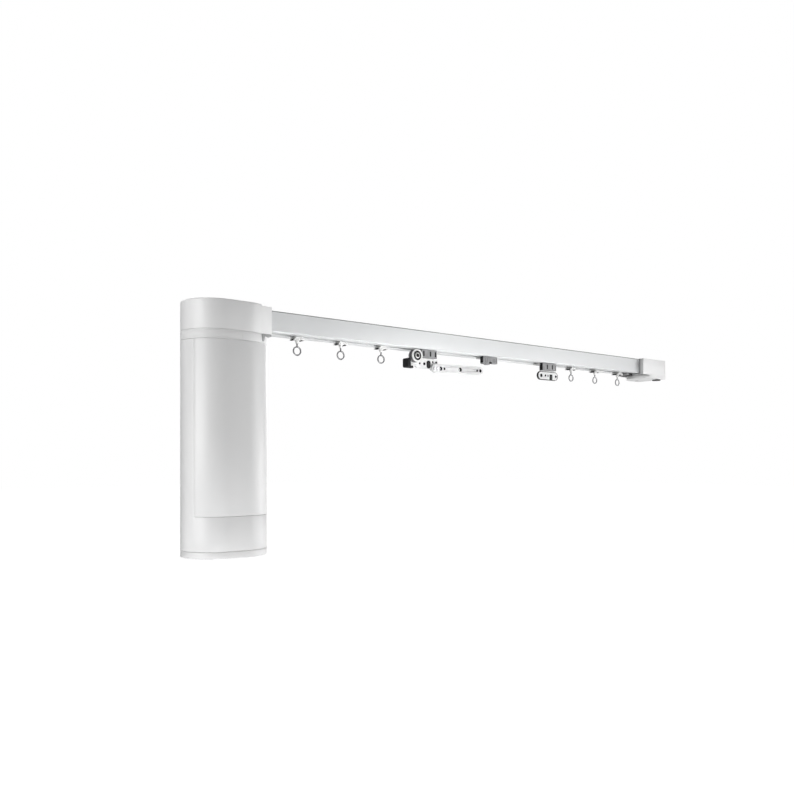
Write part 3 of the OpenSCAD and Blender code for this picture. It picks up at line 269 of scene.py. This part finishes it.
def mixFinish(name, spec, common):
    mat = bpy.data.materials.new(name)
    mat.use_nodes = True
    tree = mat.node_tree
    skin = tree.nodes["Principled BSDF"]
    skin.inputs["Metallic"].default_value = spec.get("metal", 0.0)
    skin.inputs["Coat Weight"].default_value = spec["coat"]
    skin.inputs["Coat Roughness"].default_value = common["coatRough"]
    skin.inputs["IOR"].default_value = common["ior"]
    skin.inputs["Specular IOR Level"].default_value = spec.get("mirror", common["mirror"])
    where = tree.nodes.new("ShaderNodeTexCoord")
    lay = tree.nodes.new("ShaderNodeMapping")
    lay.inputs["Scale"].default_value = spec["stretch"]
    tree.links.new(where.outputs["Object"], lay.inputs["Vector"])

    cloud = tree.nodes.new("ShaderNodeTexNoise")  # slow drift of tone over the piece
    cloud.inputs["Scale"].default_value = spec["patch"]
    cloud.inputs["Detail"].default_value = common["patchDetail"]
    tree.links.new(lay.outputs["Vector"], cloud.inputs["Vector"])
    tone = tree.nodes.new("ShaderNodeValToRGB")
    tone.color_ramp.elements[0].position = common["darkUpTo"]
    tone.color_ramp.elements[1].position = common["lightFrom"]
    tone.color_ramp.elements[0].color = spec["dark"] + (1,)
    tone.color_ramp.elements[1].color = spec["light"] + (1,)
    tree.links.new(cloud.outputs["Fac"], tone.inputs["Fac"])
    tree.links.new(tone.outputs["Color"], skin.inputs["Base Color"])

    speck = tree.nodes.new("ShaderNodeTexNoise")  # fine grain for gloss and bump
    speck.inputs["Scale"].default_value = spec["grain"]
    speck.inputs["Detail"].default_value = common["grainDetail"]
    tree.links.new(lay.outputs["Vector"], speck.inputs["Vector"])
    gloss = tree.nodes.new("ShaderNodeMapRange")
    gloss.inputs["To Min"].default_value, gloss.inputs["To Max"].default_value = spec["rough"]
    tree.links.new(speck.outputs["Fac"], gloss.inputs["Value"])
    tree.links.new(gloss.outputs["Result"], skin.inputs["Roughness"])
    relief = tree.nodes.new("ShaderNodeBump")
    relief.inputs["Strength"].default_value = spec["bump"]
    relief.inputs["Distance"].default_value = spec["depth"]
    tree.links.new(speck.outputs["Fac"], relief.inputs["Height"])
    tree.links.new(relief.outputs["Normal"], skin.inputs["Normal"])
    return mat


coats = {name: mixFinish(name, spec, finishCommon) for name, spec in finishes.items()}
print("finishes mixed:", len(coats))

# which finish each slot of the record takes
slotFinish = {
    "rail_paint": "railCoat", "white_gloss": "shellGloss", "white_label": "labelFilm",
    "base_grey": "baseGrey", "grey_nylon": "greyNylon", "white_nylon": "whiteAcetal",
    "steel": "groundSteel", "plate_white": "plateCoat", "nickel": "nickelWire",
    "black_rubber": "blackRubber", "black_plastic": "blackPlastic", "board_green": "boardGreen",
    "lens_clear": "milkyLens",
}

# nodes with a finish of their own
nodeFinish = {"release_catch": "catchGrey"}

# edge rounding in millimetres, by node; the rest take the common one
edgeRound = {
    "common": 0.18, "rail": 0.35, "drive_head": 0.4, "end_box": 0.8, "end_box_base": 2.2,
    "motor_collar": 0.25, "motor_shell": 0.3, "front_panel": 0.25, "bottom_cap": 0.5,
    "label_strip": 0.05, "left_hanger_plate": 0.3, "right_hanger_plate": 0.3, "overlap_arm": 0.3,
    "left_carriage": 0.25, "right_carriage": 0.25, "arm_slider": 0.25,
}
# seams closer than weld, in metres, are joined; edges over roundOver degrees are rounded,
# and those under smoothUnder degrees are shaded smooth
edgeRule = {"weld": 2e-6, "roundOver": 40, "segments": 2, "smoothUnder": 32}
mmPerMetre = 1000


def makeSmoothGroup():
    # smooth shading over every flat enough edge
    group = bpy.data.node_groups.new("softShade", "GeometryNodeTree")
    group.interface.new_socket("Geometry", in_out="INPUT", socket_type="NodeSocketGeometry")
    group.interface.new_socket("Geometry", in_out="OUTPUT", socket_type="NodeSocketGeometry")
    start = group.nodes.new("NodeGroupInput")
    end = group.nodes.new("NodeGroupOutput")
    faces = group.nodes.new("GeometryNodeSetShadeSmooth")
    faces.domain = "FACE"
    edges = group.nodes.new("GeometryNodeSetShadeSmooth")
    edges.domain = "EDGE"
    angle = group.nodes.new("GeometryNodeInputMeshEdgeAngle")
    flat = group.nodes.new("FunctionNodeCompare")
    flat.data_type = "FLOAT"
    flat.operation = "LESS_THAN"
    flat.inputs[1].default_value = math.radians(edgeRule["smoothUnder"])
    group.links.new(start.outputs[0], faces.inputs["Geometry"])
    group.links.new(faces.outputs["Geometry"], edges.inputs["Geometry"])
    group.links.new(angle.outputs["Unsigned Angle"], flat.inputs[0])
    group.links.new(flat.outputs["Result"], edges.inputs["Shade Smooth"])
    group.links.new(edges.outputs["Geometry"], end.inputs[0])
    return group


softShade = makeSmoothGroup()


def roundEdges(piece, millimetres):
    weld = piece.modifiers.new("weldSeams", "WELD")
    weld.merge_threshold = edgeRule["weld"]
    if millimetres > 0:
        bevel = piece.modifiers.new("roundedEdges", "BEVEL")
        bevel.width = millimetres / mmPerMetre
        bevel.segments = edgeRule["segments"]
        bevel.limit_method = "ANGLE"
        bevel.angle_limit = math.radians(edgeRule["roundOver"])
        bevel.use_clamp_overlap = True
    shade = piece.modifiers.new("softShade", "NODES")
    shade.node_group = softShade


def dressNodes():
    for row in frame["record"]["subparts"]:
        piece = frame["nodes"][row["node"]]
        coat = coats[nodeFinish.get(row["node"], slotFinish[row["material_slot"]])]
        if not piece.material_slots:
            piece.data.materials.append(coat)
        for holder in piece.material_slots:
            holder.material = coat
        roundEdges(piece, edgeRound.get(row["node"], edgeRound["common"]))


dressNodes()


# new pieces: built in millimetres, in the frame of the solids
def meshFrom(name, points, faces):
    mesh = bpy.data.meshes.new(name)
    mesh.from_pydata([tuple(value / mmPerMetre for value in point) for point in points], [], faces)
    mesh.validate()
    shell = bmesh.new()
    shell.from_mesh(mesh)
    bmesh.ops.recalc_face_normals(shell, faces=shell.faces)
    shell.to_mesh(mesh)
    shell.free()
    return mesh


# how an outline's two coordinates and its depth lie in space
planes = {
    "xz": lambda a, b, c: (a, c, b),
    "xy": lambda a, b, c: (a, b, c),
    "yz": lambda a, b, c: (c, a, b),
}


def ringFaces(here, there, count):
    # quads between two rings of points
    quads = []
    for i in range(count):
        j = (i + 1) % count
        quads.append((here + i, here + j, there + j, there + i))
    return quads


def prismMesh(name, outline, low, high, plane="xz"):
    # outline in one plane, drawn out along the third axis
    place = planes[plane]
    count = len(outline)
    points = [place(a, b, low) for a, b in outline] + [place(a, b, high) for a, b in outline]
    faces = [tuple(range(count)), tuple(range(count, 2 * count))]
    faces += ringFaces(0, count, count)
    return meshFrom(name, points, faces)


def frameMesh(name, outer, inner, low, high, plane="xz"):
    # band between two outlines with the same number of points
    place = planes[plane]
    count = len(outer)
    rings = [(outer, low), (outer, high), (inner, high), (inner, low)]
    points = [place(a, b, level) for ring, level in rings for a, b in ring]
    faces = []
    for r in range(len(rings)):
        faces += ringFaces(r * count, (r + 1) % len(rings) * count, count)
    return meshFrom(name, points, faces)


def turnedMesh(name, profile, centre, steps):
    # closed profile of (radius, height) pairs, turned about an axis along Y
    x0, y0, z0 = centre
    points, faces, count = [], [], len(profile)
    for s in range(steps):
        turn = 2 * math.pi * s / steps
        for radius, height in profile:
            along, up = radius * math.cos(turn), radius * math.sin(turn)
            points.append((x0 + along, y0 + height, z0 + up))
        faces += ringFaces(s * count, (s + 1) % steps * count, count)
    return meshFrom(name, points, faces)


def pillOutline(x, z, radius, flat, steps):
    # points round a pill that lies along the first axis
    points = []
    for side, start in ((1, -90), (-1, 90)):
        for s in range(steps + 1):
            turn = math.radians(start + 180 * s / steps)
            along, up = radius * math.cos(turn), radius * math.sin(turn)
            points.append((x + side * flat / 2 + along, z + up))
    return points


def addPiece(mesh, finish, body, rounding=0.0):
    piece = bpy.data.objects.new(mesh.name, mesh)
    mesh.materials.append(coats[finish])
    scene.collection.objects.link(piece)
    roundEdges(piece, rounding)
    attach(piece, body)


def darkOrWhite(dark):
    # finish and slot of a small fitting
    return ("blackRubber", "black_rubber") if dark else ("whiteAcetal", "white_nylon")


# dark lining in the grooves of the two carriage blocks: painted shade for the shadow deep in the
# grooves
grooveShade = {"left": (-83.3, -75.3, -69.2), "right": (86.3, 94.3), "half": 0.62, "front": -10.3,
                "back": -8.95, "low": -23.05, "high": -18.35, "edge": 0.85, "proud": -10.54,
                "step": 0.18, "rounding": 0.03}


def shadeGrooves(spec):
    for body in ("left", "right"):
        for i, x in enumerate(spec[body]):
            half, edge, proud, back = spec["half"], spec["edge"], spec["proud"], spec["back"]
            seat = spec["front"] - spec["step"]
            section = [(x - edge, proud), (x + edge, proud), (x + edge, seat), (x + half, seat),
                       (x + half, back), (x - half, back), (x - half, seat), (x - edge, seat)]
            name = f"{body}GrooveShade{i + 1}"
            mesh = prismMesh(name, section, spec["low"], spec["high"], "xy")
            addPiece(mesh, "blackRubber", body, spec["rounding"])


# dark rings pressed into the hook holes, painted shade for the shaded inner walls of the holes, as
# (x, z, hole radius)
holeShades = {
    "arm": {"body": "left", "pivot": (-67.4, -33.3), "rise": 1.6, "front": -9.1, "back": -6.5,
            "holes": ((-61.3, -33.3, 1.74), (-56.9, -33.3, 1.02), (-36.7, -33.3, 1.86),
                      (-14.3, -33.3, 0.96), (-9.9, -33.3, 1.44))},
    "leftPlate": {"body": "left", "pivot": (0, 0), "rise": 0, "front": -6.5, "back": -4.3,
                  "holes": ((-79.6, -29.7, 1.2), (-85.0, -29.7, 0.8), (-69.2, -27.4, 0.8),
                            (-65.0, -27.4, 0.8))},
    "rightPlate": {"body": "right", "pivot": (0, 0), "rise": 0, "front": -6.5, "back": -4.3,
                   "holes": ((81.2, -29.7, 1.56), (104.4, -29.7, 1.2))},
}
holeShadeShape = {"clear": 0.01, "wall": 0.2, "rim": 0.2, "proud": 0.05, "chamfer": 0.05,
               "seat": 0.02, "short": 0.06, "steps": 32}


def pressHoleShades(spec, shape):
    for place, row in spec.items():
        turn, (px, pz) = math.radians(row["rise"]), row["pivot"]
        for i, (x, z, radius) in enumerate(row["holes"]):
            dx, dz = x - px, z - pz
            cx = px + dx * math.cos(turn) - dz * math.sin(turn)
            cz = pz + dx * math.sin(turn) + dz * math.cos(turn)
            outer, inner = radius - shape["clear"], radius - shape["wall"]
            rim, top, seat = radius + shape["rim"], -shape["proud"], shape["seat"]
            deep = row["back"] - row["front"] - shape["short"]
            profile = [(inner, top), (rim - shape["chamfer"], top), (rim, 0.0), (rim, seat),
                       (outer, seat), (outer, deep), (inner, deep)]
            name, middle = f"{place}HoleShade{i + 1}", (cx, row["front"], cz)
            mesh = turnedMesh(name, profile, middle, shape["steps"])
            addPiece(mesh, "blackPlastic", row["body"])


# dark band let round the edge of the right carriage's plate
plateBand = {"centre": (91.9, -29.7), "radius": 4.4, "flat": 22.0, "proud": 0.16, "sunk": 0.5,
             "front": -6.56, "back": -4.38, "steps": 24, "rounding": 0.05}


def wrapPlate(spec):
    x, z = spec["centre"]
    outer = pillOutline(x, z, spec["radius"] + spec["proud"], spec["flat"], spec["steps"])
    inner = pillOutline(x, z, spec["radius"] - spec["sunk"], spec["flat"], spec["steps"])
    mesh = frameMesh("rightPlateBand", outer, inner, spec["front"], spec["back"])
    addPiece(mesh, "blackPlastic", "right", spec["rounding"])


# two studs in the front of that plate, as (x, z, radius)
plateStuds = {"front": -6.56, "back": -6.2, "dark": (87.8, -29.5, 1.15),
              "grey": (91.8, -29.6, 1.15), "steps": 24, "rounding": 0.03}


def studPlate(spec):
    looks = {"dark": ("blackPlastic", "black_plastic"), "grey": ("greyNylon", "grey_nylon")}
    for word, (finish, slotName) in looks.items():
        x, z, radius = spec[word]
        turns = [math.radians(360 * s / spec["steps"]) for s in range(spec["steps"])]
        outline = [(x + radius * math.cos(a), z + radius * math.sin(a)) for a in turns]
        mesh = prismMesh(word + "PlateStud", outline, spec["front"], spec["back"])
        addPiece(mesh, finish, "right", spec["rounding"])


# dark sleeves over the flared feet of the gliders: painted shade on the feet
gliderFootShade = {"places": (-212.2, -168.6, -125.0, 137.0, 178.4, 219.8), "half": 2.6,
              "outline": ((2.9, -16.84), (5.12, -19.72), (3.72, -19.98), (2.3, -18.3)),
              "rounding": 0.12}


def shadeGliderFeet(spec):
    for i, x in enumerate(spec["places"]):
        for side, word in ((-1, "Left"), (1, "Right")):
            outline = [(x + side * a, b) for a, b in spec["outline"]]
            mesh = prismMesh(f"glider{i + 1}{word}Foot", outline, -spec["half"], spec["half"])
            addPiece(mesh, "blackPlastic", f"glider_{i + 1}", spec["rounding"])


# grey ring between the rail's end and the end box, painted shade for the box's shaded end face, and
# a darker lip, painted shadow in the gap at the rail, as half widths and levels
boxEndShade = {"outer": (18.8, -18.05, 0.22), "inner": (13.1, -16.6, 0.08), "from": 243.62,
             "to": 244.08, "lip": (15.0, -17.6, 0.16), "lipFrom": 243.48, "rounding": 0.06,
             "lipRounding": 0.04}


def shadeBoxEnd(spec):
    ring = {}
    for word in ("outer", "inner", "lip"):
        half, low, high = spec[word]
        ring[word] = [(-half, low), (half, low), (half, high), (-half, high)]
    mesh = frameMesh("boxEndShade", ring["outer"], ring["inner"], spec["from"], spec["to"], "yz")
    addPiece(mesh, "boxEndShadeGrey", "track", spec["rounding"])
    mesh = frameMesh("railGapShadow", ring["lip"], ring["inner"], spec["lipFrom"], spec["from"], "yz")
    addPiece(mesh, "shadeLineGrey", "track", spec["lipRounding"])


# fine grey line along the rail's two top edges: painted shade on the edge bevels
railTopEdgeShade = {"outline": ((12.25, 0.0), (12.28, 0.035), (12.53, 0.035), (13.035, -0.48),
                      (13.035, -0.78), (12.99, -0.8)),
          "from": -243.8, "to": 243.6}


def shadeRailTopEdges(spec):
    for side, word in ((-1, "front"), (1, "back")):
        outline = [(side * a, b) for a, b in spec["outline"]]
        mesh = prismMesh(word + "TopEdgeShade", outline, spec["from"], spec["to"], "yz")
        addPiece(mesh, "shadeLineGrey", "track")


# black block under the rail at the end stop: painted shadow for the dark gap between the rail's
# bottom and the end box's base
stopGapShadow = {"from": 233.6, "to": 240.15, "half": 6.75, "low": -19.1, "high": -16.75,
           "rounding": 0.35}


def shadeStopGap(spec):
    outline = [(spec["from"], spec["low"]), (spec["to"], spec["low"]), (spec["to"], spec["high"]),
               (spec["from"], spec["high"])]
    mesh = prismMesh("stopGapShadow", outline, -spec["half"], spec["half"])
    addPiece(mesh, "blackRubber", "track", spec["rounding"])


# ribs round the guide roller's tread
treadRibs = {"centre": (-92.4, 0, -23.5), "radius": 6.13, "root": 5.8,
             "places": (-10.5, -9.2, -7.9), "width": 0.6, "chamfer": 0.1, "steps": 64}


def ribRoller(spec):
    root, radius, cut = spec["root"], spec["radius"], spec["chamfer"]
    for i, y in enumerate(spec["places"]):
        low, high = y - spec["width"] / 2, y + spec["width"] / 2
        profile = [(root, low), (radius - cut, low), (radius, low + cut),
                   (radius, high - cut), (radius - cut, high), (root, high)]
        mesh = turnedMesh(f"treadRib{i + 1}", profile, spec["centre"], spec["steps"])
        addPiece(mesh, "ribGrey", "roller")


# grey sheet under the drive head's nose, painted shade for its shaded underside, let in from its
# edges
noseUnderShade = {"x": (-256.2, -248.2), "half": 22.3, "z": (-21.14, -21.0), "skirtTo": -22.9,
              "collarAt": -269.8, "collarClear": 27.2, "bends": 12, "rounding": 0.03,
              "skirtRounding": 0.05}


def shadeNoseUnderside(spec):
    (x0, x1), half = spec["x"], spec["half"]
    outline = [(x0, -half), (x1, -half), (x1, half), (x0, half)]
    mesh = prismMesh("noseUnderShade", outline, *spec["z"], plane="xy")
    addPiece(mesh, "catchGrey", "track", spec["rounding"])
    # skirt in the two corners that the round collar leaves free
    middle, clear, bends = spec["collarAt"], spec["collarClear"], spec["bends"]
    reach = x1 - middle
    first, last = math.asin(half / clear), math.acos(reach / clear)
    turns = [first + (last - first) * s / bends for s in range(bends + 1)]
    for side, word in ((-1, "front"), (1, "back")):
        outline = [(x1, side * half)]
        outline += [(middle + clear * math.cos(a), side * clear * math.sin(a)) for a in turns]
        mesh = prismMesh(word + "NoseShadeSkirt", outline, spec["skirtTo"], spec["z"][0], "xy")
        addPiece(mesh, "catchGrey", "track", spec["skirtRounding"])


# end plates on the blocks' motor side, and the parts let into their fronts,
# as (x, z) corners and a y range; the white foot caps are painted light on the shaded foot ends
blockTrim = {
    "rightCheek": {"body": "right", "x": (78.84, 79.0), "z": (-24.4, -16.9), "y": (-10.45, -6.55),
                   "dark": True},
    "rightFootPaintedLight": {"body": "right", "x": (78.84, 79.0), "z": (-18.25, -16.85), "y": (-6.5, 2.6),
                     "dark": False},
    "rightEdge": {"body": "right", "x": (99.3, 100.02), "z": (-24.3, -18.4), "y": (-10.56, -10.2),
                  "dark": True},
    "sliderFootPaintedLight": {"body": "slider", "x": (-4.75, -4.6), "z": (-18.25, -16.85), "y": (-6.5, 2.6),
                      "dark": False},
    "sliderFoot": {"body": "slider", "x": (0.7, 4.4), "z": (-23.66, -22.1), "y": (-10.56, -9.0),
                   "dark": True},
}
trimRounding = 0.03


def trimBlocks(spec, rounding):
    for name, row in spec.items():
        (x0, x1), (z0, z1) = row["x"], row["z"]
        mesh = prismMesh(name, [(x0, z0), (x1, z0), (x1, z1), (x0, z1)], *row["y"])
        finish, slotName = darkOrWhite(row["dark"])
        addPiece(mesh, finish, row["body"], rounding)


# ribbed end of the arm slider's block, with a dark plate on its motor side; the dark ribs are
# painted shade lines on the block's front
sliderEnd = {"x": (-7.6, -4.6), "y": (-10.5, -6.5), "z": (-24.4, -16.9), "corner": 1.2,
             "bends": 6, "rounding": 0.15, "plate": 0.15, "plateRounding": 0.03,
             "ribs": (-6.6, -4.4, -2.2, 6.0, 8.2, 10.4), "ribWide": 0.4, "ribFoot": 0.6,
             "ribHead": 1.4, "ribProud": 0.06, "ribSunk": 0.4, "ribRounding": 0.05}


def extendSlider(spec):
    (x0, x1), (front, back), (z0, z1) = spec["x"], spec["y"], spec["z"]
    corner, bends = spec["corner"], spec["bends"]
    turns = [math.radians(90 * s / bends) for s in range(bends + 1)]
    bend = [(x0 + corner - corner * math.cos(a), z0 + corner - corner * math.sin(a)) for a in turns]
    mesh = prismMesh("sliderEnd", bend + [(x1, z0), (x1, z1), (x0, z1)], front, back)
    addPiece(mesh, "greyNylon", "slider", spec["rounding"])
    low = z0 + corner
    plate = [(x0 - spec["plate"], low), (x0, low), (x0, z1), (x0 - spec["plate"], z1)]
    mesh = prismMesh("sliderCheek", plate, front, back)
    addPiece(mesh, "blackRubber", "slider", spec["plateRounding"])
    foot, head, wide = low + spec["ribFoot"], z1 - spec["ribHead"], spec["ribWide"]
    proud, sunk = front - spec["ribProud"], front + spec["ribSunk"]
    for i, x in enumerate(spec["ribs"]):
        rib = [(x, foot), (x + wide, foot), (x + wide, head), (x, head)]
        mesh = prismMesh(f"sliderSlotShade{i + 1}", rib, proud, sunk)
        addPiece(mesh, "blackPlastic", "slider", spec["ribRounding"])


# rings on the guide roller's face: the seal's inner lip, and the white shoulder
# that covers its outer edge
rollerFace = {"centre": (-92.4, -12.5, -23.5), "chamfer": 0.03, "steps": 64,
              "sealLip": {"radii": (2.65, 3.55), "heights": (-0.05, 0.22), "dark": True},
              "shoulder": {"radii": (4.4, 4.82), "heights": (-0.04, 0.18), "dark": False}}


def faceRoller(spec):
    cut = spec["chamfer"]
    for word in ("sealLip", "shoulder"):
        row = spec[word]
        (r0, r1), (h0, h1) = row["radii"], row["heights"]
        profile = [(r0, h1), (r0, h0 + cut), (r0 + cut, h0),
                   (r1 - cut, h0), (r1, h0 + cut), (r1, h1)]
        name = "roller" + word[0].upper() + word[1:]
        mesh = turnedMesh(name, profile, spec["centre"], spec["steps"])
        finish, slotName = darkOrWhite(row["dark"])
        addPiece(mesh, finish, "roller")


shadeGrooves(grooveShade)
pressHoleShades(holeShades, holeShadeShape)
wrapPlate(plateBand)
studPlate(plateStuds)
shadeGliderFeet(gliderFootShade)
shadeBoxEnd(boxEndShade)
shadeRailTopEdges(railTopEdgeShade)
shadeStopGap(stopGapShadow)
ribRoller(treadRibs)
shadeNoseUnderside(noseUnderShade)
trimBlocks(blockTrim, trimRounding)
extendSlider(sliderEnd)
faceRoller(rollerFace)
print("small pieces added")
